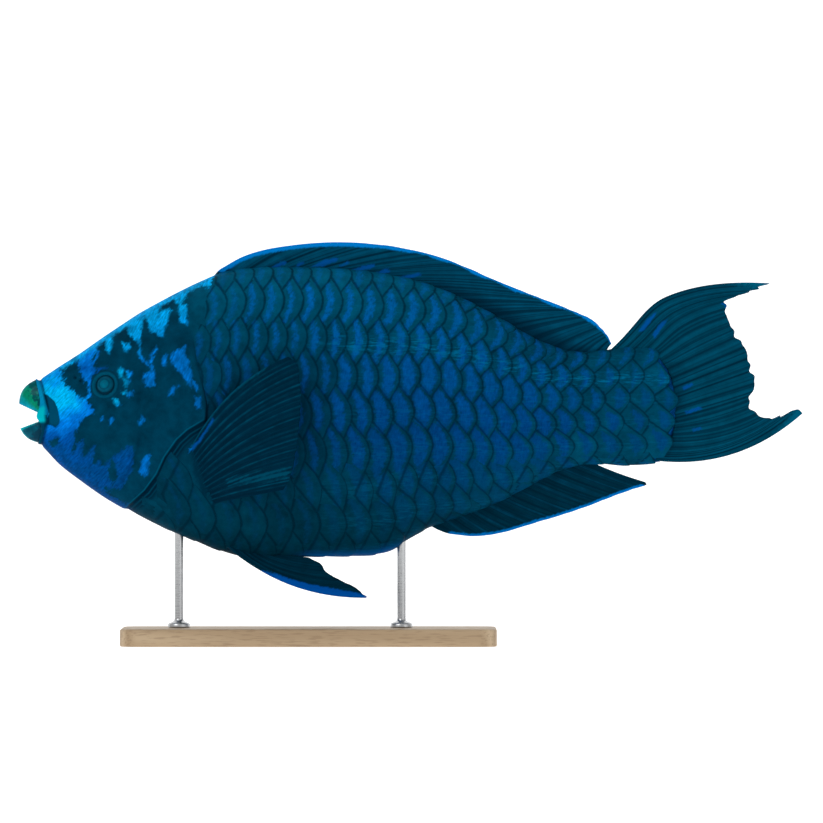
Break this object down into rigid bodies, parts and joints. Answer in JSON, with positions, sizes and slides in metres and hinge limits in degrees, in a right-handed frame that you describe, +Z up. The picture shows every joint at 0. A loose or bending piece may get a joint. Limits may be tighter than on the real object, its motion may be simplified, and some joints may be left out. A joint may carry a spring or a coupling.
{
  "type": "midnight parrotfish museum model",
  "caption": "Life-size swimming parrotfish with beak, gill covers, ray fins and crescent tail, held on a flat base by short rods.",
  "frame": {"origin": "centre of the underside of the display base", "axes": "+X towards the fish's tail, +Y towards its right side, +Z up; the fish faces -X"},
  "size_m": [0.6266, 0.1446, 0.3225],
  "materials": {
    "skin": "deep teal scales with blue centres, softly glossy",
    "fins": "dark teal membrane with bright blue margins",
    "beak": "blue-green tooth plate, glossy",
    "eyes": "dark teal iris with a black pupil, wet gloss",
    "base": "oiled ash, satin",
    "rods": "brushed steel rod"
  },
  "bodies": {
    "root": {"head": "skin", "gill_cover_left": "skin", "gill_cover_right": "skin", "beak_upper": "beak", "beak_lower": "beak", "eye_left": "eyes", "eye_right": "eyes", "trunk": "skin", "tail_stalk": "skin", "dorsal_fin": "fins", "anal_fin": "fins", "tail_fin_upper": "fins", "tail_fin_lower": "fins", "pectoral_fin_left": "fins", "pectoral_fin_right": "fins", "pelvic_fin_left": "fins", "pelvic_fin_right": "fins", "stand_base": "base", "stand_rod_front": "rods", "stand_rod_rear": "rods"}
  },
  "joints": []
}
